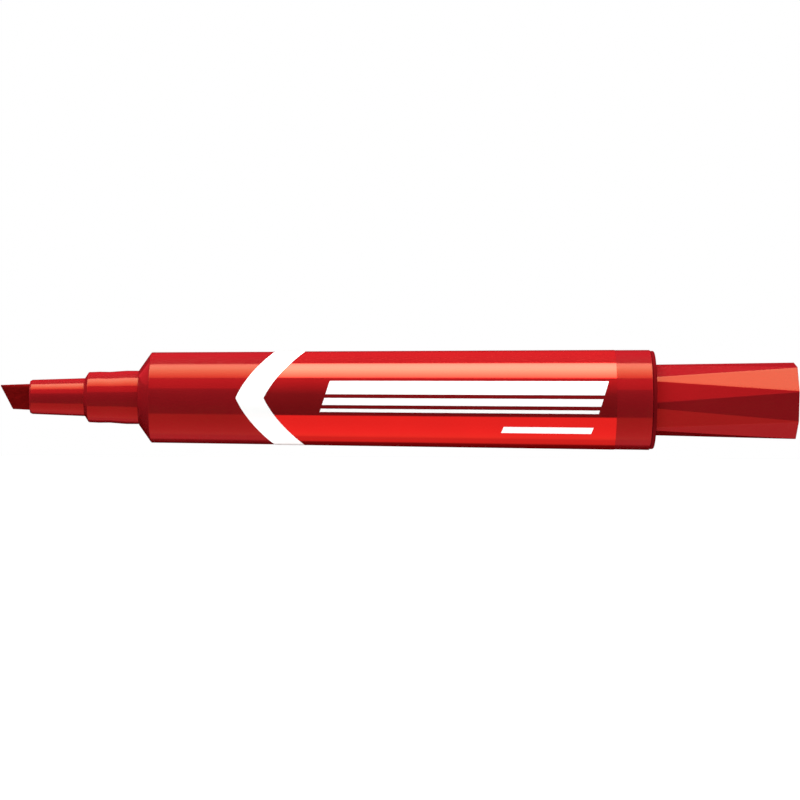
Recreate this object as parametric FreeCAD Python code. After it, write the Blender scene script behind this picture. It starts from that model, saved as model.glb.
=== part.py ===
import FreeCAD, Part
import math
import os

# A chisel-tip felt marker with its cap pushed onto the post at its rear.
#
# Lengths are in millimetres and angles in degrees. A station is a distance along the marker from
# the point of the nib. In the part's frame the marker's axis is X, with the nib towards -X, the
# origin half way along the axis and +Z up. The point of the nib is on the +Z side.

Vector = FreeCAD.Vector
X_AXIS = Vector(1, 0, 0)
Y_AXIS = Vector(0, 1, 0)
Z_AXIS = Vector(0, 0, 1)

# Whole marker
TOTAL_LENGTH = 142.94  # point of the nib to the closed end of the posted cap
PUSH_FIT_GAP = 0.03  # radial gap between parts that are pushed together and stay put
CAP_GAP = 0.06  # radial gap between the cap's mouth and the seat that it slides on

# Barrel: a conical shoulder, then a slightly tapered tube
BARREL_FRONT = 25.0
SHOULDER_REAR = 27.2
BARREL_REAR = 116.75
SHOULDER_FRONT_R = 5.0
BARREL_FRONT_R = 8.13
BARREL_REAR_R = 9.0
BARREL_WALL = 1.3
SHOULDER_ROUNDING = 0.25
RIM_ROUNDING = 0.15
COLLAR_REAR = 29.5  # the collar inside the shoulder that grips the front section
COLLAR_R = 5.4
RIB_COUNT = 6
RIB_WIDTH = 0.8
RIB_STATIONS = (33.0, 107.0)
RIB_REACH = 0.4  # how far a rib's root goes into the barrel's wall at the rear

# Front section: nozzle, neck and the skirt that goes into the barrel
NOZZLE_FRONT = 5.4
NOZZLE_REAR = 15.2
NOZZLE_FRONT_R = 3.08
NOZZLE_REAR_R = 3.42
NOZZLE_LIP = 0.32  # how far the nozzle's face slopes back from its mouth to its edge
NOZZLE_MOUTH_R = 2.6
NECK_FRONT = 15.9
NECK_FRONT_R = 4.52
BEAD_R = 4.60  # the low bead that a cap's mouth rides over
BEAD_REACH = 7.2  # from the seat's base
WAIST_R = 4.57
WAIST_REACH = 5.4  # from the seat's base
SEAT_R = 4.80  # the seat that a cap's mouth closes on, on the neck and on the rear post
SEAT_LENGTH = 2.4
SKIRT_R = 4.33
SKIRT_REAR = 34.0
SNAP_HEIGHT = 0.25
FEED_CAVITY_R = 3.4
FEED_CAVITY_FRONT = 17.0
FIN_WIDTH = 0.8
VENT_R = 0.3

# Nib: a bar with a rounded rectangular section, cut on a slant and sharpened on both sides
NIB_HEIGHT = 4.7
NIB_WIDTH = 3.9
NIB_CORNER_R = 0.9
NIB_REAR = 44.0
NIB_TIP_HALF_HEIGHT = 2.13
NIB_SLANT_RUN = 2.2  # how much further back the lower end of the slanted edge is
NIB_EDGE_WIDTH = 1.5
NIB_BEVEL_LENGTH = 4.0

# Ink reservoir and its wrap
RESERVOIR_R = 6.45
WRAP_GAP = 0.02
WRAP_THICKNESS = 0.15

# End plug: a disc and flange that close the barrel, with the post for the cap
PLUG_FRONT = 109.0
PLUG_R = 7.70
PLUG_SKIRT_WALL = 0.85
DISC_FRONT = 113.5
DISC_REAR = 115.5
FLANGE_R = 8.84
FLANGE_REAR = 117.5
RECESS_R = 6.9
POST_REAR = 125.0
POST_BORE_R = 3.5
POST_END_WALL = 1.2
SNAP_GROOVE = (111.0, 112.4)
SNAP_GROOVE_DEPTH = 0.2

# Cap: sixteen flat facets, eight that widen towards the mouth and eight towards the closed end
CAP_MOUTH = 115.6
CAP_MOUTH_R = 6.38  # centre to corner
CAP_END_R = 7.05  # centre to corner
FACET_PAIRS = 8
FIRST_FACET_ANGLE = 13.0  # from the -Y direction, turning towards +Z
MOUTH_FACET_HALF_ANGLE = 19.5
END_FACET_HALF_ANGLE = 1.0
CAP_SEAT_LENGTH = 4.0
CAP_CAVITY_R = 5.05
CAP_LEAD_IN = 0.3
CAP_CAVITY_DEPTH = 26.0  # from the mouth
CAP_EDGE_BEVEL = 0.15

# Cap liner: the cup that closes round the nozzle when the cap is on the front
LINER_MOUTH_DEPTH = 10.4  # from the cap's mouth
LINER_FLOOR = 0.6
LINER_MOUTH_R = 3.5
LINER_FLOOR_R = 3.25
LINER_WALL = 0.55
LINER_FLANGE = 0.8
LINER_RIBS = 6

# Label: printed film round the barrel, with a V-shaped front edge that points at the nib
LABEL_TIP = 42.7
LABEL_REAR = 110.33
LABEL_REACH = 6.82  # how far the V's arms go back by the time they reach the barrel's top and bottom
LABEL_BEND = 0.47  # how much of that is a bend, and not a straight slant
LABEL_SEAM_HALF_ANGLE = 0.7  # half of the gap between its two ends, on the far side
LABEL_THICKNESS = 0.06
LABEL_LIFT = 0.01


def at(station, radius=0.0, degrees=90.0):
    """A point at a station, out from the axis at an angle from -Y towards +Z."""
    turn = math.radians(degrees)
    return Vector(station - TOTAL_LENGTH / 2, -radius * math.cos(turn), radius * math.sin(turn))


def barrel_radius(station):
    """The barrel's outer radius behind its shoulder."""
    along = (station - SHOULDER_REAR) / (BARREL_REAR - SHOULDER_REAR)
    return BARREL_FRONT_R + along * (BARREL_REAR_R - BARREL_FRONT_R)


def rounded_outline(corners):
    """A flat face from (station, radius, rounding) corners, with an arc at each rounded one."""
    points = [at(station, radius) for station, radius, _ in corners]
    bends = []
    for i, (_, _, rounding) in enumerate(corners):
        here = points[i]
        back = (points[i - 1] - here).normalize()
        ahead = (points[(i + 1) % len(points)] - here).normalize()
        half = back.getAngle(ahead) / 2
        reach = rounding / math.tan(half)
        inwards = (back + ahead).normalize() * (rounding / math.sin(half) - rounding)
        bends.append((here + back * reach, here + inwards, here + ahead * reach))
    edges = []
    for i, (start, middle, end) in enumerate(bends):
        if corners[i][2] > 0:
            edges.append(Part.Arc(start, middle, end).toShape())
        edges.append(Part.makeLine(end, bends[(i + 1) % len(bends)][0]))
    return Part.Face(Part.Wire(edges))


def turned(corners):
    """A solid turned about the marker's axis from corners of (station, radius[, rounding])."""
    full = [(*corner, 0.0)[:3] for corner in corners]
    return rounded_outline(full).revolve(at(0), X_AXIS, 360)


def rod(front, rear, radius):
    return Part.makeCylinder(radius, rear - front, at(front), X_AXIS)


def tube(front, rear, outer_radius, inner_radius):
    return rod(front, rear, outer_radius).cut(rod(front, rear, inner_radius))


def spoke(front, rear, inner, outer, width, degrees):
    """A radial plate along the axis, from one radius to another, at an angle about the axis."""
    plate = Part.makeBox(rear - front, width, outer - inner, at(front) + Vector(0, -width / 2, inner))
    plate.rotate(at(0), X_AXIS, degrees)
    return plate


def spokes(count, front, rear, inner, outer, width):
    plates = [spoke(front, rear, inner, outer, width, i * 360 / count) for i in range(count)]
    return plates[0].fuse(plates[1:])


def nib_bar(front, rear, grow):
    """The nib's section, made larger all round by grow, drawn out along the axis."""
    half_width = NIB_WIDTH / 2 + grow
    half_height = NIB_HEIGHT / 2 + grow
    bar = Part.makeBox(
        rear - front, 2 * half_width, 2 * half_height, at(front) - Vector(0, half_width, half_height)
    )
    long_edges = [edge for edge in bar.Edges if abs(edge.tangentAt(edge.FirstParameter).x) > 0.9]
    return bar.makeFillet(NIB_CORNER_R + grow, long_edges)


def seat_outline(seat_station, towards):
    """Corners from a cap seat's base out over its waist and bead. towards is +1 or -1 along X."""
    return [
        (seat_station, SEAT_R),
        (seat_station + towards * SEAT_LENGTH, SEAT_R, 4.0),
        (seat_station + towards * WAIST_REACH, WAIST_R, 8.0),
        (seat_station + towards * BEAD_REACH, BEAD_R, 8.0),
    ]


def make_barrel():
    cavity_front_r = BARREL_FRONT_R - BARREL_WALL
    plug_shelf = PLUG_FRONT - 0.5
    plug_bore_r = PLUG_R + PUSH_FIT_GAP
    shoulder_slope = (BARREL_FRONT_R - SHOULDER_FRONT_R) / (SHOULDER_REAR - BARREL_FRONT)
    wall_shift = BARREL_WALL / math.sin(math.atan(shoulder_slope))
    inner_cone_front = BARREL_FRONT + wall_shift
    collar_root = inner_cone_front + (COLLAR_R - SHOULDER_FRONT_R) / shoulder_slope
    cavity_front = inner_cone_front + (cavity_front_r - SHOULDER_FRONT_R) / shoulder_slope
    collar_bore_r = SKIRT_R + PUSH_FIT_GAP
    shell = turned(
        [
            (BARREL_FRONT, collar_bore_r),
            (BARREL_FRONT, SHOULDER_FRONT_R),
            (SHOULDER_REAR, BARREL_FRONT_R, SHOULDER_ROUNDING),
            (BARREL_REAR, BARREL_REAR_R, RIM_ROUNDING),
            (BARREL_REAR, plug_bore_r, 0.15),
            (plug_shelf, plug_bore_r),
            (plug_shelf, barrel_radius(plug_shelf) - BARREL_WALL),
            (cavity_front, cavity_front_r, 0.5),
            (collar_root, COLLAR_R),
            (COLLAR_REAR, COLLAR_R, 0.3),
            (COLLAR_REAR, collar_bore_r, 0.1),
        ]
    )
    groove_r = plug_bore_r + SNAP_GROOVE_DEPTH
    groove = tube(*SNAP_GROOVE, groove_r, plug_bore_r - 0.1)
    wrap_r = RESERVOIR_R + WRAP_GAP + WRAP_THICKNESS
    rib_root = barrel_radius(RIB_STATIONS[1]) - BARREL_WALL + RIB_REACH
    ribs = spokes(RIB_COUNT, *RIB_STATIONS, wrap_r + 2 * PUSH_FIT_GAP, rib_root, RIB_WIDTH)
    return shell.fuse(ribs).cut(groove).removeSplitter()


def make_front_section():
    neck = list(reversed(seat_outline(BARREL_FRONT, -1)))
    snap_front = COLLAR_REAR + 0.1
    body = turned(
        [
            (NOZZLE_FRONT, 0.0),
            (NOZZLE_FRONT, NOZZLE_MOUTH_R),
            (NOZZLE_FRONT + NOZZLE_LIP, NOZZLE_FRONT_R, 0.08),
            (NOZZLE_REAR, NOZZLE_REAR_R),
            (NECK_FRONT, NECK_FRONT_R, 0.25),
            *neck,
            (BARREL_FRONT, SKIRT_R),
            (snap_front, SKIRT_R),
            (snap_front + 0.3, SKIRT_R + SNAP_HEIGHT, 0.1),
            (snap_front + 0.9, SKIRT_R + SNAP_HEIGHT, 0.1),
            (snap_front + 1.6, SKIRT_R),
            (SKIRT_REAR, SKIRT_R, 0.2),
            (SKIRT_REAR, 0.0),
        ]
    )
    passage = nib_bar(NOZZLE_FRONT - 1, FEED_CAVITY_FRONT + 1, PUSH_FIT_GAP)
    body = body.cut(passage).cut(rod(FEED_CAVITY_FRONT, SKIRT_REAR + 1, FEED_CAVITY_R))
    fins = []
    for i in range(4):
        half_nib = (NIB_HEIGHT if i % 2 == 0 else NIB_WIDTH) / 2
        quarter = 90.0 * i
        fins.append(
            spoke(FEED_CAVITY_FRONT, SKIRT_REAR, half_nib + PUSH_FIT_GAP, FEED_CAVITY_R + 0.3,
                  FIN_WIDTH, quarter)
        )
        vent_centre = at(NOZZLE_FRONT - 1, half_nib + PUSH_FIT_GAP, 90.0 + quarter)
        vent = Part.makeCylinder(VENT_R, FEED_CAVITY_FRONT - NOZZLE_FRONT + 1, vent_centre, X_AXIS)
        body = body.cut(vent)
    return body.fuse(fins).removeSplitter()


def prism(corners, plane_normal, half_depth):
    """A prism from corners in the plane through the origin, going half_depth to each side."""
    wire = Part.makePolygon([*corners, corners[0]])
    wire.translate(plane_normal * -half_depth)
    return Part.Face(wire).extrude(plane_normal * 2 * half_depth)


def make_nib():
    far = NIB_REAR + 10.0
    half_height = NIB_HEIGHT / 2
    # Seen from the side: the exposed end narrows a little towards its point
    side_view = prism(
        [
            at(0, NIB_TIP_HALF_HEIGHT),
            at(NOZZLE_FRONT, half_height),
            at(far, half_height),
            at(far, -half_height),
            at(NOZZLE_FRONT, -half_height),
            at(0, -NIB_TIP_HALF_HEIGHT),
        ],
        Y_AXIS,
        NIB_WIDTH,
    )
    # Looking along the slanted edge: two bevels meet at a narrow flat
    half_edge = NIB_EDGE_WIDTH / 2
    half_width = NIB_WIDTH / 2
    edge_view = prism(
        [
            Vector(0, -half_edge, 0),
            Vector(NIB_BEVEL_LENGTH, -half_width, 0),
            Vector(far, -half_width, 0),
            Vector(far, half_width, 0),
            Vector(NIB_BEVEL_LENGTH, half_width, 0),
            Vector(0, half_edge, 0),
        ],
        Z_AXIS,
        far,
    )
    slant = math.degrees(math.atan2(NIB_SLANT_RUN, 2 * NIB_TIP_HALF_HEIGHT))
    edge_view.rotate(Vector(0, 0, 0), Y_AXIS, -slant)
    edge_view.translate(at(0, NIB_TIP_HALF_HEIGHT))
    return nib_bar(0, NIB_REAR, 0.0).common(side_view).common(edge_view)


def make_reservoir():
    socket = nib_bar(SKIRT_REAR - 1, NIB_REAR + 0.1, WRAP_GAP)
    return rod(SKIRT_REAR, DISC_FRONT, RESERVOIR_R).cut(socket)


def make_wrap():
    inner = RESERVOIR_R + WRAP_GAP
    return tube(SKIRT_REAR, DISC_FRONT, inner + WRAP_THICKNESS, inner)


def make_end_plug():
    skirt_inner_r = PLUG_R - PLUG_SKIRT_WALL
    snap_front, snap_rear = SNAP_GROOVE
    snap_r = PLUG_R + SNAP_GROOVE_DEPTH - PUSH_FIT_GAP
    flange_front = BARREL_REAR + PUSH_FIT_GAP
    return turned(
        [
            (PLUG_FRONT, skirt_inner_r, 0.1),
            (PLUG_FRONT, PLUG_R - 0.1, 0.1),
            (snap_front + 0.1, PLUG_R),
            (snap_front + 0.6, snap_r, 0.1),
            (snap_rear - 0.3, snap_r, 0.1),
            (snap_rear - 0.1, PLUG_R),
            (flange_front, PLUG_R),
            (flange_front, FLANGE_R, 0.1),
            (FLANGE_REAR, FLANGE_R, 0.3),
            (FLANGE_REAR, RECESS_R, 0.2),
            (DISC_REAR, RECESS_R, 0.2),
            *seat_outline(DISC_REAR, +1),
            (POST_REAR, NECK_FRONT_R, 0.6),
            (POST_REAR, 0.0),
            (POST_REAR - POST_END_WALL, 0.0),
            (POST_REAR - POST_END_WALL, POST_BORE_R, 0.3),
            (DISC_FRONT, POST_BORE_R, 0.3),
            (DISC_FRONT, skirt_inner_r),
        ]
    )


def cap_ring(station, corner_radius, half_angle):
    """The sixteen corners of one end of the cap, two to each facet that is widest at the mouth."""
    ring = []
    for i in range(FACET_PAIRS):
        middle = FIRST_FACET_ANGLE + i * 360 / FACET_PAIRS
        ring.append(at(station, corner_radius, middle - half_angle))
        ring.append(at(station, corner_radius, middle + half_angle))
    return ring


def flat_face(corners):
    return Part.Face(Part.makePolygon([*corners, corners[0]]))


def make_cap_shell():
    bevel = CAP_EDGE_BEVEL
    rings = [
        cap_ring(CAP_MOUTH, CAP_MOUTH_R - bevel, MOUTH_FACET_HALF_ANGLE),
        cap_ring(CAP_MOUTH + bevel, CAP_MOUTH_R, MOUTH_FACET_HALF_ANGLE),
        cap_ring(TOTAL_LENGTH - bevel, CAP_END_R, END_FACET_HALF_ANGLE),
        cap_ring(TOTAL_LENGTH, CAP_END_R - bevel, END_FACET_HALF_ANGLE),
    ]
    faces = [flat_face(rings[0]), flat_face(rings[-1])]
    for front, rear in zip(rings, rings[1:]):
        for i in range(len(front)):
            faces.append(flat_face([front[i - 1], front[i], rear[i], rear[i - 1]]))
    block = Part.makeSolid(Part.makeShell(faces))
    seat_bore_r = SEAT_R + CAP_GAP
    seat_rear = CAP_MOUTH + CAP_SEAT_LENGTH
    cavity = turned(
        [
            (CAP_MOUTH - 1, 0.0),
            (CAP_MOUTH - 1, seat_bore_r + CAP_LEAD_IN),
            (CAP_MOUTH, seat_bore_r + CAP_LEAD_IN),
            (CAP_MOUTH + CAP_LEAD_IN, seat_bore_r),
            (seat_rear, seat_bore_r),
            (seat_rear + 0.4, CAP_CAVITY_R),
            (CAP_MOUTH + CAP_CAVITY_DEPTH, CAP_CAVITY_R, 0.3),
            (CAP_MOUTH + CAP_CAVITY_DEPTH, 0.0),
        ]
    )
    return block.cut(cavity)


def make_cap_liner():
    mouth = CAP_MOUTH + LINER_MOUTH_DEPTH
    rear = CAP_MOUTH + CAP_CAVITY_DEPTH
    flange_r = CAP_CAVITY_R - PUSH_FIT_GAP
    wall_r = LINER_MOUTH_R + LINER_WALL
    cup = turned(
        [
            (mouth, LINER_MOUTH_R, 0.2),
            (mouth, flange_r, 0.1),
            (mouth + LINER_FLANGE, flange_r, 0.1),
            (mouth + LINER_FLANGE, wall_r),
            (rear, wall_r - 0.15),
            (rear, 0.0),
            (rear - LINER_FLOOR, 0.0),
            (rear - LINER_FLOOR, LINER_FLOOR_R, 0.4),
        ]
    )
    rib_rear = rear - 0.5
    ribs = spokes(LINER_RIBS, mouth, rib_rear, wall_r - 0.3, flange_r - 0.05, 0.6)
    return cup.fuse(ribs).removeSplitter()


def label_front(turn):
    """The station of the label's front edge: a V on the near side, and straight behind."""
    height = math.sin(math.radians(min(turn, 90.0)))
    return LABEL_TIP + LABEL_REACH * height * (1 - LABEL_BEND + LABEL_BEND * height)


def label_half(side):
    """One half of the label, from the tip of its V round to the seam. side is +1 or -1."""
    steps = 18
    sweep = 180 - LABEL_SEAM_HALF_ANGLE
    turns = [sweep * i / steps for i in range(steps + 1)]

    def curve(lift, front_edge):
        points = []
        for turn in turns:
            station = label_front(turn) if front_edge else LABEL_REAR
            points.append(at(station, barrel_radius(station) + lift, side * turn))
        spline = Part.BSplineCurve()
        spline.interpolate(Points=points, Parameters=turns)
        return spline.toShape()

    under = LABEL_LIFT
    over = LABEL_LIFT + LABEL_THICKNESS
    sides = [curve(under, True), curve(under, False), curve(over, False), curve(over, True)]
    same_direction = 1
    faces = [Part.makeRuledSurface(sides[i - 1], sides[i], same_direction) for i in range(4)]
    for which in (0, -1):
        faces.append(flat_face([edge.Vertexes[which].Point for edge in sides]))
    return Part.makeSolid(Part.makeShell(faces))


def make_label():
    return label_half(+1).fuse(label_half(-1)).removeSplitter()


PARTS = {
    "barrel": make_barrel,
    "front_section": make_front_section,
    "chisel_nib": make_nib,
    "ink_reservoir": make_reservoir,
    "reservoir_wrap": make_wrap,
    "end_plug": make_end_plug,
    "cap_shell": make_cap_shell,
    "cap_liner": make_cap_liner,
    "barrel_label": make_label,
}

os.makedirs("parts", exist_ok=True)
for name, make in PARTS.items():
    make().exportStep(f"parts/{name}.step")
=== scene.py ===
import math

import bmesh
import bpy
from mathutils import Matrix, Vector, noise


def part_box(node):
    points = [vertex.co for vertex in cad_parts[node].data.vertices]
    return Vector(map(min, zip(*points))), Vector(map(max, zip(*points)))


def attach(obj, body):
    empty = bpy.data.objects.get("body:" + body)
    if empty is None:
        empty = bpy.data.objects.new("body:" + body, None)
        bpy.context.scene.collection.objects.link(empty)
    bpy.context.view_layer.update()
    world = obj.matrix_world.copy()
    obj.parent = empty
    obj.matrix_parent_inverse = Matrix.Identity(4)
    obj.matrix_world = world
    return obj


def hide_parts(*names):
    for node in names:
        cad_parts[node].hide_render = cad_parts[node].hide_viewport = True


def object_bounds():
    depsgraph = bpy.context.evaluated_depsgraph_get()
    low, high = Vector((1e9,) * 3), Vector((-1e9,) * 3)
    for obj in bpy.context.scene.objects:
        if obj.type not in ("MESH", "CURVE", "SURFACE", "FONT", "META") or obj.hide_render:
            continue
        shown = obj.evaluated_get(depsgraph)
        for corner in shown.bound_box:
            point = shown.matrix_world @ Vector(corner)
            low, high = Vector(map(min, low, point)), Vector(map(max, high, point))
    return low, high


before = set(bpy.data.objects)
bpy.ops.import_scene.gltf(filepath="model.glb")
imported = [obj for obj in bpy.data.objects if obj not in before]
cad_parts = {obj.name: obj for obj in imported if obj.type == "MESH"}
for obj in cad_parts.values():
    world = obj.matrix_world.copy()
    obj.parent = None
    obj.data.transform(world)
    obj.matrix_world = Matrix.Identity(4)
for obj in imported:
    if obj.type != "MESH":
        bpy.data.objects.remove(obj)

# A chisel-tip felt marker with its cap pushed onto its rear post.
#
# A station is a distance in millimetres along the marker from the point of the nib, radii are in
# millimetres and angles in degrees, from the -Y side of the axis towards +Z. at() turns them into
# points of the frame, in metres. The stations of each part's ends come from its CAD node.

MM = 0.001
CAD_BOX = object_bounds()
TIP_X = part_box("chisel_nib")[0].x


def span(node):
    """The stations of a CAD node's two ends."""
    low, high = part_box(node)
    return (low.x - TIP_X) / MM, (high.x - TIP_X) / MM


NIB_REAR = span("chisel_nib")[1]
NOZZLE_FRONT, SKIRT_REAR = span("front_section")
BARREL_FRONT, BARREL_REAR = span("barrel")
PLUG_FRONT, POST_REAR = span("end_plug")
CAP_MOUTH, CAP_END = span("cap_shell")
LABEL_TIP, LABEL_REAR = span("barrel_label")
NIB_HALF_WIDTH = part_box("chisel_nib")[1].y / MM
NIB_HALF_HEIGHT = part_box("chisel_nib")[1].z / MM

# Barrel
SHOULDER_REAR = BARREL_FRONT + 2.2
SHOULDER_FRONT_R = 5.0
BARREL_FRONT_R = 8.13
BARREL_REAR_R = 9.0
BARREL_BORE_R = 4.36
BARREL_WALL = 1.3
COLLAR_R = 5.4
COLLAR_ROOT = 1.9  # the collar's two ends, behind the barrel's front
COLLAR_REAR = 4.5
CAVITY_FRONT = 2.9  # where the cavity begins, behind the barrel's front
PLUG_R = 7.7
PLUG_STOP = 0.5  # how far the plug's seat goes on past the plug
FIT_GAP = 0.03  # round pieces that are pushed together for good

# Front section and end plug. Both have a seat, a waist and a bead for the cap's mouth
NOZZLE_REAR = 15.2
NOZZLE_FRONT_R = 3.08
NOZZLE_REAR_R = 3.42
NOZZLE_LIP = 0.32
NOZZLE_FACE_R = 2.9
NIB_MOUTH_GAP = 0.12  # round the nib where it comes out
NIB_MOUTH_DEPTH = 0.15
NECK_FRONT = 15.9
NECK_FRONT_R = 4.52
SEAT_R = 4.8
SEAT_LENGTH = 2.4
WAIST_R = 4.57
WAIST_REACH = 5.4  # the waist and the bead, from the seat's base
BEAD_R = 4.6
BEAD_REACH = 7.2
SKIRT_R = 4.33
SKIRT_REAR_R = 3.4
DISC_FRONT = 113.5
DISC_REAR = 115.5
FLANGE_R = 8.84
FLANGE_REAR = 117.5
RECESS_R = 6.9
PLUG_WALL = 0.85
POST_BORE_R = 3.5
POST_END_WALL = 1.2
CENTRE_R = 0.5  # the small flat disc in the middle of a closed end

# Nib
NIB_CORNER_R = 0.9
NIB_TIP_HALF_HEIGHT = 2.13
NIB_SLANT_RUN = 2.2
NIB_HALF_EDGE = 0.75
NIB_BEVEL_LENGTH = 4.0
NIB_EDGE_R = 0.12
BEVEL_SLOPE = (NIB_HALF_WIDTH - NIB_HALF_EDGE) / NIB_BEVEL_LENGTH
FIBRE_LENGTH = 1.2
FIBRE_WIDTH = 0.22
FURROW_DEPTH = 0.03

# Cap
CAP_MOUTH_R = 6.38
CAP_END_R = 7.05
FACET_PAIRS = 8
FIRST_FACET_ANGLE = 13.0
MOUTH_FACET_HALF_ANGLE = 19.5
END_FACET_HALF_ANGLE = 1.0
CAP_EDGE_R = 0.08
CAP_CORNER_R = 0.45
CAP_SEAT_R = 4.86
CAP_SEAT_LENGTH = 4.0
CAP_CAVITY_R = 5.05
CAP_CAVITY_DEPTH = 26.0
CAP_LEAD_IN = 0.3

# Label and what is printed on it
LABEL_REACH = 6.82  # how far the V's arms go back by the time they reach the top and bottom
LABEL_BEND = 0.47  # how much of that is a bend, and not a straight slant
LABEL_ENDS = 179.3  # the angle at which its two ends meet, on the far side
FILM_UNDER = 0.01  # heights over the barrel: the film's underside, its top, and the print's top
FILM_LIFT = 0.045
PRINT_LIFT = 0.055
BAND_WIDTH = 4.96
BAND_GROWTH = 0.38
LINE_LEAN = 0.047  # how far a printed line's ends lean back per degree
PRINTED_LINES = [  # front and rear station half way up the marker, upper angle, lower angle
    (58.4, 107.9, 21.4, 5.0),
    (58.4, 107.9, 0.5, -8.0),
    (58.4, 107.9, -12.5, -16.5),
    (91.9, 107.9, -34.0, -43.0),
]

# How finely the meshes are cut
CREASE = 24.0  # edges that bend by more degrees than this are sharp
TURN_STEPS = 192
ARC_STEPS = 6
CORNER_STEPS = 4
FLAT_STEPS = 8
WRAP_STEP = 1.5
NIB_STEPS = 120
NIB_RING_STEP = 0.12
NIB_HIDDEN_DEPTHS = (12, 20, 32)


def at(station, radius=0.0, degrees=90.0):
    """A point of the frame, in metres."""
    turn = math.radians(degrees)
    return Vector((
        TIP_X + station * MM,
        -radius * math.cos(turn) * MM,
        radius * math.sin(turn) * MM,
    ))


def barrel_radius(station):
    along = (station - SHOULDER_REAR) / (BARREL_REAR - SHOULDER_REAR)
    return BARREL_FRONT_R + along * (BARREL_REAR_R - BARREL_FRONT_R)


def arc(here, before, after, radius, steps):
    """Points of the arc that rounds a corner of a flat outline."""
    back = (before - here).normalized()
    ahead = (after - here).normalized()
    half = back.angle(ahead) / 2
    start = here + back * radius / math.tan(half)
    end = here + ahead * radius / math.tan(half)
    centre = here + (back + ahead).normalized() * radius / math.sin(half)
    return [
        centre + (start.lerp(end, step / steps) - centre).normalized() * radius
        for step in range(steps + 1)
    ]


def rounded(corners):
    """The points of a closed outline of (station, radius[, rounding]) corners."""
    spots = [Vector(corner[:2]) for corner in corners]
    points = []
    for i, corner in enumerate(corners):
        if len(corner) == 2:
            points.append(spots[i])
        else:
            after = spots[(i + 1) % len(spots)]
            points += arc(spots[i], spots[i - 1], after, corner[2], ARC_STEPS)
    return points


def add_piece(name, mesh):
    """A new object from a bmesh, smooth but for its sharp edges."""
    bmesh.ops.recalc_face_normals(mesh, faces=mesh.faces)
    data = bpy.data.meshes.new(name)
    mesh.to_mesh(data)
    mesh.free()
    data.shade_smooth()
    data.set_sharp_from_angle(angle=math.radians(CREASE))
    piece = bpy.data.objects.new(name, data)
    bpy.context.scene.collection.objects.link(piece)
    return piece


def skin(rings, closed=False):
    """A bmesh that joins rings of equally many points. closed joins the last ring to the first;
    otherwise both ends are filled."""
    mesh = bmesh.new()
    rows = [[mesh.verts.new(point) for point in ring] for ring in rings]
    pairs = list(zip(rows, rows[1:]))
    if closed:
        pairs.append((rows[-1], rows[0]))
    else:
        mesh.faces.new(rows[0])
        mesh.faces.new(rows[-1])
    for front, rear in pairs:
        for i in range(len(front)):
            mesh.faces.new((front[i - 1], front[i], rear[i], rear[i - 1]))
    return mesh


def circle(station, radius):
    return [at(station, radius, 360 * i / TURN_STEPS) for i in range(TURN_STEPS)]


def seat_outline(base, towards):
    """Corners from a cap seat's base out over its waist and bead. towards is +1 or -1 along X."""
    return [
        (base, SEAT_R),
        (base + towards * SEAT_LENGTH, SEAT_R, 4.0),
        (base + towards * WAIST_REACH, WAIST_R, 8.0),
        (base + towards * BEAD_REACH, BEAD_R, 8.0),
    ]


def make_barrel():
    plug_shelf = PLUG_FRONT - PLUG_STOP
    outline = rounded([
        (BARREL_FRONT, BARREL_BORE_R),
        (BARREL_FRONT, SHOULDER_FRONT_R, 0.06),
        (SHOULDER_REAR, BARREL_FRONT_R, 0.3),
        (BARREL_REAR, BARREL_REAR_R, 0.15),
        (BARREL_REAR, PLUG_R + FIT_GAP, 0.15),
        (plug_shelf, PLUG_R + FIT_GAP),
        (plug_shelf, barrel_radius(plug_shelf) - BARREL_WALL),
        (BARREL_FRONT + CAVITY_FRONT, BARREL_FRONT_R - BARREL_WALL, 0.5),
        (BARREL_FRONT + COLLAR_ROOT, COLLAR_R),
        (BARREL_FRONT + COLLAR_REAR, COLLAR_R, 0.3),
        (BARREL_FRONT + COLLAR_REAR, BARREL_BORE_R, 0.1),
    ])
    return add_piece("barrel_moulding", skin([circle(*point) for point in outline], closed=True))


def nib_section(station, grow=0.0, count=TURN_STEPS):
    """The nib's rounded rectangle, made larger by grow, at even angles about the axis."""
    flat_width = NIB_HALF_WIDTH - NIB_CORNER_R
    flat_height = NIB_HALF_HEIGHT - NIB_CORNER_R
    corner_r = NIB_CORNER_R + grow
    ring = []
    for i in range(count):
        turn = 2 * math.pi * i / count
        across = abs(math.cos(turn))
        up = abs(math.sin(turn))
        along = flat_width * across + flat_height * up
        off = flat_width * up - flat_height * across
        corner = along + math.sqrt(max(corner_r ** 2 - off ** 2, 0.0))
        side = (flat_width + corner_r) / max(across, 1e-9)
        top = (flat_height + corner_r) / max(up, 1e-9)
        if side * up <= flat_height:
            reach = side
        elif top * across <= flat_width:
            reach = top
        else:
            reach = corner
        ring.append(at(station, reach, math.degrees(turn)))
    return ring


def make_front_section():
    outer = rounded([
        (NOZZLE_FRONT, NOZZLE_FACE_R),
        (NOZZLE_FRONT + NOZZLE_LIP, NOZZLE_FRONT_R, 0.08),
        (NOZZLE_REAR, NOZZLE_REAR_R, 0.1),
        (NECK_FRONT, NECK_FRONT_R, 0.25),
        *reversed(seat_outline(BARREL_FRONT, -1)),
        (BARREL_FRONT, SKIRT_R),
        (SKIRT_REAR, SKIRT_R, 0.2),
        (SKIRT_REAR, SKIRT_REAR_R),
    ])
    rings = [
        nib_section(SKIRT_REAR, FIT_GAP),
        nib_section(NOZZLE_FRONT + NIB_MOUTH_DEPTH, FIT_GAP),
        nib_section(NOZZLE_FRONT, NIB_MOUTH_GAP),
    ]
    rings += [circle(*point) for point in outer]
    return add_piece("front_section_moulding", skin(rings, closed=True))


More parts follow.
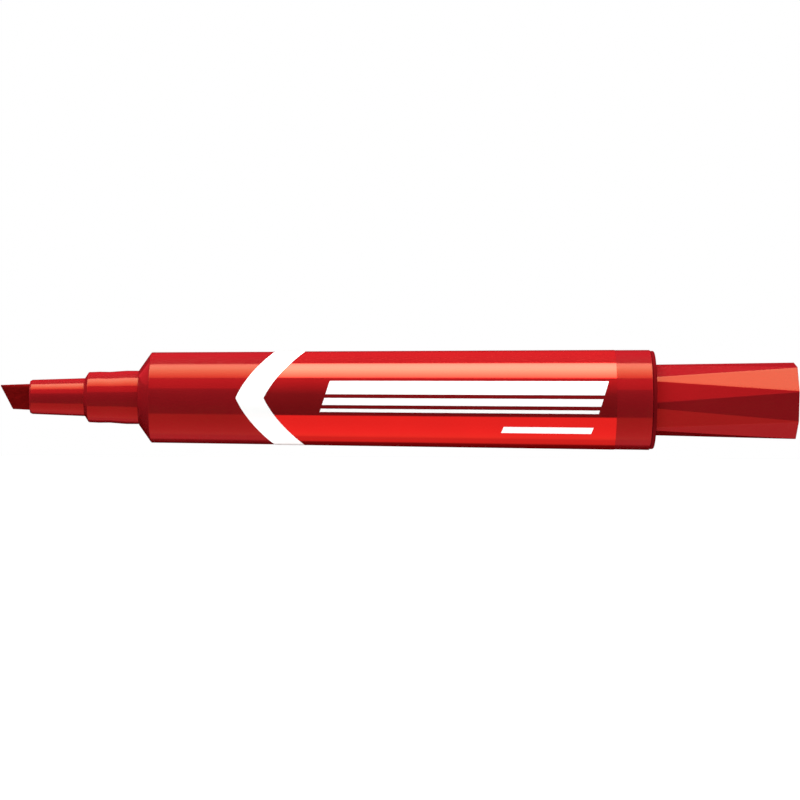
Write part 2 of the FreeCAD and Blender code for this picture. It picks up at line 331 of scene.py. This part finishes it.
def make_end_plug():
    skirt_inner_r = PLUG_R - PLUG_WALL
    post_end = POST_REAR - POST_END_WALL
    outline = rounded([
        (post_end, CENTRE_R),
        (post_end, POST_BORE_R, 0.3),
        (DISC_FRONT, POST_BORE_R, 0.3),
        (DISC_FRONT, skirt_inner_r),
        (PLUG_FRONT, skirt_inner_r, 0.1),
        (PLUG_FRONT, PLUG_R, 0.1),
        (BARREL_REAR + FIT_GAP, PLUG_R),
        (BARREL_REAR + FIT_GAP, FLANGE_R, 0.12),
        (FLANGE_REAR, FLANGE_R, 0.3),
        (FLANGE_REAR, RECESS_R, 0.2),
        (DISC_REAR, RECESS_R, 0.2),
        *seat_outline(DISC_REAR, +1),
        (POST_REAR, NECK_FRONT_R, 0.6),
        (POST_REAR, CENTRE_R),
    ])
    return add_piece("end_plug_moulding", skin([circle(*point) for point in outline]))


def facet_ring(station, corner_radius, half_angle):
    """One ring of the cap's outside: sixteen flats, with an arc at each corner between them."""
    corners = []
    for i in range(FACET_PAIRS):
        middle = FIRST_FACET_ANGLE + i * 360 / FACET_PAIRS
        for angle in (middle - half_angle, middle + half_angle):
            corners.append(at(station, corner_radius, angle))
    ring = []
    count = len(corners)
    bends = [
        arc(corners[i], corners[i - 1], corners[(i + 1) % count], CAP_CORNER_R * MM, CORNER_STEPS)
        for i in range(count)
    ]
    for i, bend in enumerate(bends):
        ring += bend
        ahead = bends[(i + 1) % count][0]
        ring += [bend[-1].lerp(ahead, step / FLAT_STEPS) for step in range(1, FLAT_STEPS)]
    return ring


def round_ring(station, radius, like):
    """A circle whose points stand at the same angles as those of another ring."""
    ring = []
    for point in like:
        out = Vector((0, point.y, point.z)).normalized()
        ring.append(at(station) + out * radius * MM)
    return ring


def make_cap_shell():
    guide = facet_ring(CAP_MOUTH, CAP_MOUTH_R, MOUTH_FACET_HALF_ANGLE)
    seat_rear = CAP_MOUTH + CAP_SEAT_LENGTH
    floor = CAP_MOUTH + CAP_CAVITY_DEPTH
    inside = rounded([
        (floor, CENTRE_R),
        (floor, CAP_CAVITY_R, 0.3),
        (seat_rear + 0.4, CAP_CAVITY_R, 0.2),
        (seat_rear, CAP_SEAT_R, 0.2),
        (CAP_MOUTH + CAP_LEAD_IN, CAP_SEAT_R, 0.2),
        (CAP_MOUTH, CAP_SEAT_R + CAP_LEAD_IN),
    ])
    rings = [round_ring(*point, guide) for point in inside]
    quarter = [math.pi / 2 * step / ARC_STEPS for step in range(ARC_STEPS + 1)]
    for turn in quarter:
        radius = CAP_MOUTH_R - CAP_EDGE_R * (1 - math.sin(turn))
        station = CAP_MOUTH + CAP_EDGE_R * (1 - math.cos(turn))
        rings.append(facet_ring(station, radius, MOUTH_FACET_HALF_ANGLE))
    for turn in quarter:
        station = CAP_END - CAP_EDGE_R * (1 - math.sin(turn))
        radius = CAP_END_R - CAP_EDGE_R * (1 - math.cos(turn))
        rings.append(facet_ring(station, radius, END_FACET_HALF_ANGLE))
    return add_piece("cap_moulding", skin(rings))


def band(name, front_line, rear_line, angle_from, angle_to, under, over):
    """A thin sheet wrapped on the barrel, between two lines that give a station for each angle."""
    steps = max(2, round(abs(angle_to - angle_from) / WRAP_STEP))
    steps += steps % 2
    rings = []
    for step in range(steps + 1):
        angle = angle_from + (angle_to - angle_from) * step / steps
        ends = (front_line(angle), rear_line(angle))
        low = [at(station, barrel_radius(station) + under, angle) for station in ends]
        high = [at(station, barrel_radius(station) + over, angle) for station in ends]
        rings.append([low[0], high[0], high[1], low[1]])
    return add_piece(name, skin(rings))


def height_on_barrel(angle):
    """0 half way up the near side, 1 at the top and bottom and all over the far side."""
    return math.sin(math.radians(min(abs(angle), 90)))


def label_front(angle):
    """The front edge of the label: a V on the near side, and straight behind."""
    height = height_on_barrel(angle)
    return LABEL_TIP + LABEL_REACH * height * (1 - LABEL_BEND + LABEL_BEND * height)


def label_rear(angle):
    """The rear edge of the label, at the same station all round."""
    return LABEL_REAR


def chevron_rear(angle):
    """The rear edge of the white V, whose arms get a little wider away from its point."""
    return label_front(angle) + BAND_WIDTH + BAND_GROWTH * height_on_barrel(angle)


def make_label():
    """The film and what is printed on it: the white V, and four white lines with slanted ends."""
    all_round = (-LABEL_ENDS, LABEL_ENDS)
    film = band("label_film", label_front, label_rear, *all_round, FILM_UNDER, FILM_LIFT)
    chevron = band("label_chevron", label_front, chevron_rear, *all_round, FILM_LIFT, PRINT_LIFT)
    lines = []
    for i, (front, rear, upper, lower) in enumerate(PRINTED_LINES):
        lines.append(band(
            f"label_line_{i + 1}",
            lambda angle: front + LINE_LEAN * angle,
            lambda angle: rear + LINE_LEAN * angle,
            upper,
            lower,
            FILM_LIFT,
            PRINT_LIFT,
        ))
    return film, chevron, lines


def nib_ring(depth, inset=0.0):
    """A ring round the nib, depth mm behind its slanted end, that leans less the further back."""
    half_width = min(NIB_HALF_WIDTH, NIB_HALF_EDGE + BEVEL_SLOPE * depth) - inset
    ring = []
    for point in nib_section(0, count=NIB_STEPS):
        up = point.z / MM / NIB_HALF_HEIGHT
        lean = NIB_SLANT_RUN * (1 - up) / 2 * (1 - depth / NIB_REAR)
        station = min(depth + lean, NIB_REAR)
        growth = min(station / NOZZLE_FRONT, 1)
        half_height = NIB_TIP_HALF_HEIGHT + (NIB_HALF_HEIGHT - NIB_TIP_HALF_HEIGHT) * growth - inset
        ring.append(Vector((
            at(station).x,
            point.y * half_width / NIB_HALF_WIDTH,
            up * half_height * MM,
        )))
    return ring


def make_nib():
    """A felt bar, cut to a slanted edge, with shallow furrows between its fibres."""
    rings = []
    for step in range(ARC_STEPS + 1):
        turn = math.pi / 2 * step / ARC_STEPS
        rings.append(nib_ring(NIB_EDGE_R * (1 - math.cos(turn)), NIB_EDGE_R * (1 - math.sin(turn))))
    seen = NOZZLE_FRONT + NIB_SLANT_RUN
    fine_steps = round(seen / NIB_RING_STEP)
    rings += [nib_ring(NIB_EDGE_R + seen * step / fine_steps) for step in range(1, fine_steps + 1)]
    rings += [nib_ring(depth) for depth in (*NIB_HIDDEN_DEPTHS, NIB_REAR)]
    piece = add_piece("nib_felt_bar", skin(rings))
    for vertex in piece.data.vertices:
        place = vertex.co / MM
        grain = Vector((place.x / FIBRE_LENGTH, place.y / FIBRE_WIDTH, place.z / FIBRE_WIDTH))
        vertex.co -= vertex.normal * (0.5 + 0.5 * noise.noise(grain)) * FURROW_DEPTH * MM
    return piece


def new_material(name, finish, **sockets):
    """A material with its Principled shader, and that shader's constant sockets set."""
    material = bpy.data.materials.new(name)
    material.use_nodes = True
    tree = material.node_tree
    shader = tree.nodes["Principled BSDF"]
    for socket, value in {**finish, **sockets}.items():
        shader.inputs[socket.replace("_", " ")].default_value = value
    return material, tree, shader


def math_node(tree, operation, first, second=None):
    node = tree.nodes.new("ShaderNodeMath")
    node.operation = operation
    for socket, value in zip(node.inputs, (first, second)):
        if isinstance(value, bpy.types.NodeSocket):
            tree.links.new(value, socket)
        elif value is not None:
            socket.default_value = value
    return node.outputs[0]


def noise_node(tree, scale, detail=3.0, stretch=(1, 1, 1)):
    """A noise texture in the piece's own space. scale is in cycles per metre."""
    place = tree.nodes.new("ShaderNodeTexCoord")
    mapping = tree.nodes.new("ShaderNodeMapping")
    mapping.inputs["Scale"].default_value = stretch
    texture = tree.nodes.new("ShaderNodeTexNoise")
    texture.inputs["Scale"].default_value = scale
    texture.inputs["Detail"].default_value = detail
    tree.links.new(place.outputs["Object"], mapping.inputs["Vector"])
    tree.links.new(mapping.outputs["Vector"], texture.inputs["Vector"])
    return texture.outputs["Fac"]


def vary_colour(tree, shader, factor, dark, light):
    ramp = tree.nodes.new("ShaderNodeValToRGB")
    ramp.color_ramp.elements[0].position = 0.3
    ramp.color_ramp.elements[0].color = (*dark, 1)
    ramp.color_ramp.elements[1].position = 0.7
    ramp.color_ramp.elements[1].color = (*light, 1)
    tree.links.new(factor, ramp.inputs["Fac"])
    tree.links.new(ramp.outputs["Color"], shader.inputs["Base Color"])


def vary_roughness(tree, shader, factor, low, high):
    spread = tree.nodes.new("ShaderNodeMapRange")
    spread.inputs["From Min"].default_value = 0.3
    spread.inputs["From Max"].default_value = 0.7
    spread.inputs["To Min"].default_value = low
    spread.inputs["To Max"].default_value = high
    tree.links.new(factor, spread.inputs["Value"])
    tree.links.new(spread.outputs["Result"], shader.inputs["Roughness"])


def add_bump(tree, shader, height, depth, strength=1.0):
    """depth is in metres."""
    bump = tree.nodes.new("ShaderNodeBump")
    bump.inputs["Distance"].default_value = depth
    bump.inputs["Strength"].default_value = strength
    tree.links.new(height, bump.inputs["Height"])
    tree.links.new(bump.outputs["Normal"], shader.inputs["Normal"])


def moulded_plastic(name, dark, light, tint, low=0.07, high=0.13, **sockets):
    """Glossy moulded plastic: faint flow marks in its colour, and a slightly uneven polish."""
    finish = {"Specular_Tint": (*tint, 1)}
    material, tree, shader = new_material(name, finish, **sockets)
    vary_colour(tree, shader, noise_node(tree, 130, stretch=(0.4, 1, 1)), dark, light)
    vary_roughness(tree, shader, noise_node(tree, 420), low, high)
    add_bump(tree, shader, noise_node(tree, 900, detail=1.0), 1.5e-6)
    return material


def printed_film(name, dark, light, tint, low=0.04, high=0.07, **sockets):
    """Glossy film: smoother than the moulding, with faint lines from its winding."""
    finish = {"Specular_Tint": (*tint, 1)}
    material, tree, shader = new_material(name, finish, **sockets)
    vary_colour(tree, shader, noise_node(tree, 90), dark, light)
    vary_roughness(tree, shader, noise_node(tree, 600), low, high)
    add_bump(tree, shader, noise_node(tree, 250, detail=1.0, stretch=(2, 1, 1)), 1.0e-6)
    return material


def felt(name, dark, light, roughness=0.85):
    """Pressed fibre: streaks along the axis, in colour and in height."""
    material, tree, shader = new_material(name, {"Specular_IOR_Level": 0.0})
    fibres = noise_node(tree, 2600, detail=4.0, stretch=(0.18, 1, 1))
    vary_colour(tree, shader, fibres, dark, light)
    vary_roughness(tree, shader, noise_node(tree, 900), roughness - 0.1, roughness + 0.1)
    add_bump(tree, shader, fibres, 4e-5, 0.8)
    return material


RED_DARK = (0.185, 0.0050, 0.0074)
RED_LIGHT = (0.205, 0.0056, 0.0082)
# The flange's two colours are painted shade: about half as bright as the other red mouldings, so that
# the flange shows as a dark ring.
FLANGE_SHADED_DARK = (0.100, 0.0027, 0.0040)
FLANGE_SHADED_LIGHT = (0.112, 0.0031, 0.0045)
PLASTIC_TINT = (1.0, 0.30, 0.10)
PLASTIC_SHINE = 0.85


def red_plastic(name):
    return moulded_plastic(
        name, RED_DARK, RED_LIGHT, PLASTIC_TINT, Specular_IOR_Level=PLASTIC_SHINE
    )


barrel_red = red_plastic("barrel_red")
section_red = red_plastic("section_red")
cap_red = red_plastic("cap_red")
# Painted shade: the flange in a darker red, matt and without a specular reflection.
flange_painted_shade = moulded_plastic(
    "flange_painted_shade", FLANGE_SHADED_DARK, FLANGE_SHADED_LIGHT, PLASTIC_TINT, low=0.65, high=0.75, Specular_IOR_Level=0.0
)
label_red = printed_film(
    "label_red",
    (0.49, 0.015, 0.019),
    (0.53, 0.017, 0.021),
    (1.0, 1.0, 0.5),
    Metallic=0.6,
    IOR=1.68,
    Specular_IOR_Level=1.0,
)
print_white = printed_film("print_white", (0.90, 0.90, 0.89), (0.94, 0.94, 0.93), (1, 1, 1))
nib_ink = felt("nib_ink", (0.085, 0.0019, 0.0019), (0.13, 0.0029, 0.0029))
reservoir_ink = felt("reservoir_ink", (0.14, 0.004, 0.004), (0.24, 0.008, 0.008))
clear_film = printed_film(
    "clear_film", (0.80, 0.78, 0.76), (0.86, 0.84, 0.82), (1, 1, 1), Transmission_Weight=0.8
)
natural_plastic = moulded_plastic(
    "natural_plastic", (0.66, 0.65, 0.62), (0.72, 0.71, 0.68), (1, 1, 1), low=0.35, high=0.5
)


def dress(piece, material, slot, body, *nodes):
    piece.data.materials.clear()
    piece.data.materials.append(material)
    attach(piece, body)
    if nodes:
        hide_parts(*nodes)


def paint_flange_shade(plug):
    """Gives the plug's flange its own matt, darker material: painted shade, a dark ring behind the
    glossy barrel.
    """
    plug.data.materials.append(flange_painted_shade)
    for face in plug.data.polygons:
        outside = math.hypot(face.center.y, face.center.z) > RECESS_R * MM
        behind = face.center.x > at(BARREL_REAR).x
        face.material_index = 1 if outside and behind else 0


barrel = make_barrel()
front_section = make_front_section()
end_plug = make_end_plug()
cap = make_cap_shell()
dress(barrel, barrel_red, "barrel_red", "marker", "barrel")
dress(front_section, section_red, "section_red", "marker", "front_section")
dress(end_plug, section_red, "section_red", "marker", "end_plug")
# The flange's outer ring gets the darker red of painted shade.
paint_flange_shade(end_plug)
dress(cap, cap_red, "cap_red", "cap", "cap_shell")
dress(make_nib(), nib_ink, "nib_felt", "marker", "chisel_nib")
film, chevron, printed_lines = make_label()
dress(film, label_red, "label_film", "marker", "barrel_label")
for printed in (chevron, *printed_lines):
    dress(printed, print_white, "label_print_white", "marker")
for node, material in (
    ("ink_reservoir", reservoir_ink),
    ("reservoir_wrap", clear_film),
    ("cap_liner", natural_plastic),
):
    cad_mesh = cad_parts[node].data
    cad_mesh.materials.clear()
    cad_mesh.materials.append(material)

# The studio: a pale floor, a sky that is a long softbox overhead with a dark room in front of it,
# and three soft lights that only some pieces reflect. Lengths are in metres

FLOOR_DROP = 0.06
FLOOR_HALF_SIZE = 3.0
STRIP_DISTANCE = 0.45
STRIP_LENGTH = 1.6
SHOULDER_LIGHT_AWAY = Vector((-0.30, 0.24, 0.10))
SHOULDER_LIGHT_SIZE = (0.21, 0.08)
RED_GLOW = (1.0, 0.04, 0.06)
PALE_GLOW = (1.0, 1.0, 0.55)
LIGHT_SPREAD = [  # degrees up from the front horizon and over to the back, and brightness there
    (-180, 1.28),
    (-121, 1.28),
    (-119, 2.14),
    (-21, 2.14),
    (-19, 0.64),
    (59, 0.64),
    (61, 7.4),
    (119, 7.4),
    (121, 0.86),
    (180, 0.86),
]
REFLECTIONS = [  # the same, with a colour
    (-180, (0.1, 0.0, 0.0)),
    (-134, (0.25, 0.0, 0.0)),
    (-126, (1.35, 0.1, 0.12)),
    (-109, (1.45, 0.15, 0.18)),
    (-103, (1.95, 0.28, 0.26)),
    (-85, (1.95, 0.22, 0.24)),
    (-62, (1.8, 0.2, 0.22)),
    (-43, (1.82, 0.2, 0.22)),
    (-41, (0.0, 0.0, 0.0)),
    (10, (0.0, 0.0, 0.0)),
    (26, (0.3, 0.01, 0.02)),
    (46, (0.6, 0.03, 0.04)),
    (50, (0.0, 0.0, 0.0)),
    (52, (5.4, 1.35, 1.35)),
    (66, (6.1, 4.0, 4.0)),
    (80, (6.3, 6.5, 6.5)),
    (87, (6.3, 6.0, 6.0)),
    (93, (6.2, 4.6, 4.6)),
    (95, (0.45, 0.01, 0.015)),
    (140, (0.5, 0.01, 0.015)),
    (180, (0.0, 0.0, 0.0)),
]
BRIGHTEST = 8.0


def add_floor():
    mesh = bmesh.new()
    bmesh.ops.create_grid(mesh, x_segments=2, y_segments=2, size=FLOOR_HALF_SIZE)
    data = bpy.data.meshes.new("floor")
    mesh.to_mesh(data)
    mesh.free()
    floor = bpy.data.objects.new("floor", data)
    floor.location.z = CAD_BOX[0].z - FLOOR_DROP
    bpy.context.scene.collection.objects.link(floor)
    finish = {"Roughness": 0.9, "Base Color": (0.9, 0.9, 0.9, 1)}
    data.materials.append(new_material("floor_white", finish)[0])
    floor.visible_glossy = False
    floor.visible_diffuse = False


def end_fade(tree, endwise, start, end, least):
    """The strength of the light: full from the sides, and least from beyond the marker's ends."""
    fade = tree.nodes.new("ShaderNodeMapRange")
    fade.interpolation_type = "SMOOTHSTEP"
    limits = {
        "From Min": start, "From Max": end, "To Min": BRIGHTEST, "To Max": BRIGHTEST * least
    }
    for socket, value in limits.items():
        fade.inputs[socket].default_value = value
    tree.links.new(endwise, fade.inputs["Value"])
    return fade.outputs["Result"]


def lit_by_angle(tree, turn, fade, stops):
    """A background whose colour depends on the angle about the marker's axis."""
    ramp = tree.nodes.new("ShaderNodeValToRGB")
    tree.links.new(turn, ramp.inputs["Fac"])
    elements = ramp.color_ramp.elements
    while len(elements) < len(stops):
        elements.new(0.5)
    for element, (degrees, colour) in zip(elements, stops):
        element.position = degrees / 360 + 0.5
        element.color = (*[share / BRIGHTEST for share in colour], 1)
    light = tree.nodes.new("ShaderNodeBackground")
    tree.links.new(ramp.outputs["Color"], light.inputs["Color"])
    tree.links.new(fade, light.inputs["Strength"])
    return light.outputs["Background"]


def add_sky():
    """White to the camera, and two sets of lights: for the spread of light, and for reflections."""
    world = bpy.data.worlds.new("studio")
    bpy.context.scene.world = world
    world.use_nodes = True
    tree = world.node_tree
    place = tree.nodes.new("ShaderNodeTexCoord")
    axes = tree.nodes.new("ShaderNodeSeparateXYZ")
    tree.links.new(place.outputs["Generated"], axes.inputs["Vector"])
    towards_front = math_node(tree, "MULTIPLY", axes.outputs["Y"], -1.0)
    angle = math_node(tree, "ARCTAN2", axes.outputs["Z"], towards_front)
    turn = math_node(tree, "MULTIPLY_ADD", angle, 1 / (2 * math.pi))
    turn.node.inputs[2].default_value = 0.5
    endwise = math_node(tree, "ABSOLUTE", axes.outputs["X"])
    spread_stops = [(degrees, (level,) * 3) for degrees, level in LIGHT_SPREAD]
    spread = lit_by_angle(tree, turn, end_fade(tree, endwise, 0.5, 0.95, 0.3), spread_stops)
    reflected = lit_by_angle(tree, turn, end_fade(tree, endwise, 0.6, 0.85, 0.0), REFLECTIONS)
    seen = tree.nodes["Background"]
    seen.inputs["Color"].default_value = (1, 1, 1, 1)
    rays = tree.nodes.new("ShaderNodeLightPath")
    choice = spread
    for ray, other in (("Is Glossy Ray", reflected), ("Is Camera Ray", seen.outputs["Background"])):
        choose = tree.nodes.new("ShaderNodeMixShader")
        tree.links.new(rays.outputs[ray], choose.inputs["Fac"])
        tree.links.new(choice, choose.inputs[1])
        tree.links.new(other, choose.inputs[2])
        choice = choose.outputs["Shader"]
    tree.links.new(choice, tree.nodes["World Output"].inputs["Surface"])


def add_light(name, place, aim, size, colour, energy, pieces):
    """A soft rectangular light that only some pieces reflect, and that lights nothing else."""
    lamp = bpy.data.lights.new(name, "AREA")
    lamp.shape = "RECTANGLE"
    lamp.size, lamp.size_y = size
    lamp.color = colour
    lamp.energy = energy
    light = bpy.data.objects.new(name, lamp)
    light.location = place
    light.rotation_euler = (aim - place).to_track_quat("-Z", "Y").to_euler()
    light.visible_diffuse = False
    light.visible_camera = False
    lit = bpy.data.collections.new(name)
    for piece in pieces:
        lit.objects.link(piece)
    light.light_linking.receiver_collection = lit
    bpy.context.scene.collection.objects.link(light)


def add_front_strip(name, low, high, colour, energy, pieces):
    """A long light in front of the marker, between two angles."""
    middle = math.radians((low + high) / 2)
    place = STRIP_DISTANCE * Vector((0, -math.cos(middle), math.sin(middle)))
    height = 2 * STRIP_DISTANCE * math.tan(math.radians((high - low) / 2))
    add_light(name, place, Vector(), (STRIP_LENGTH, height), colour, energy, pieces)


def add_shoulder_light(energy, pieces):
    """A light behind and beyond the nib, which the upper part of the conical shoulder reflects."""
    shoulder = at((BARREL_FRONT + SHOULDER_REAR) / 2)
    place = shoulder + SHOULDER_LIGHT_AWAY
    add_light("shoulder_light", place, shoulder, SHOULDER_LIGHT_SIZE, RED_GLOW, energy, pieces)


def add_camera():
    """Level with the marker and square to it, so that it spans nearly the whole picture."""
    distance = 0.55
    share = 0.9925
    aside = 0.4 * MM
    below = 0.23 * MM
    roll = math.radians(-0.289)
    camera = bpy.data.cameras.new("camera")
    camera.sensor_width = 36.0
    length = (CAD_BOX[1] - CAD_BOX[0]).x
    camera.lens = camera.sensor_width * distance * share / length
    eye = bpy.data.objects.new("camera", camera)
    eye.location = ((CAD_BOX[0].x + CAD_BOX[1].x) / 2 + aside, -distance, -below)
    eye.rotation_euler = (math.radians(90), roll, 0)
    bpy.context.scene.collection.objects.link(eye)
    bpy.context.scene.camera = eye


add_floor()
add_sky()
add_front_strip("moulding_strip", 23, 49, RED_GLOW, 1.8, [barrel, front_section, end_plug, cap])
add_front_strip("label_strip", 52, 76, PALE_GLOW, 0.73, [film])
add_shoulder_light(0.065, [barrel])
add_camera()
bpy.context.scene.view_settings.view_transform = "Standard"
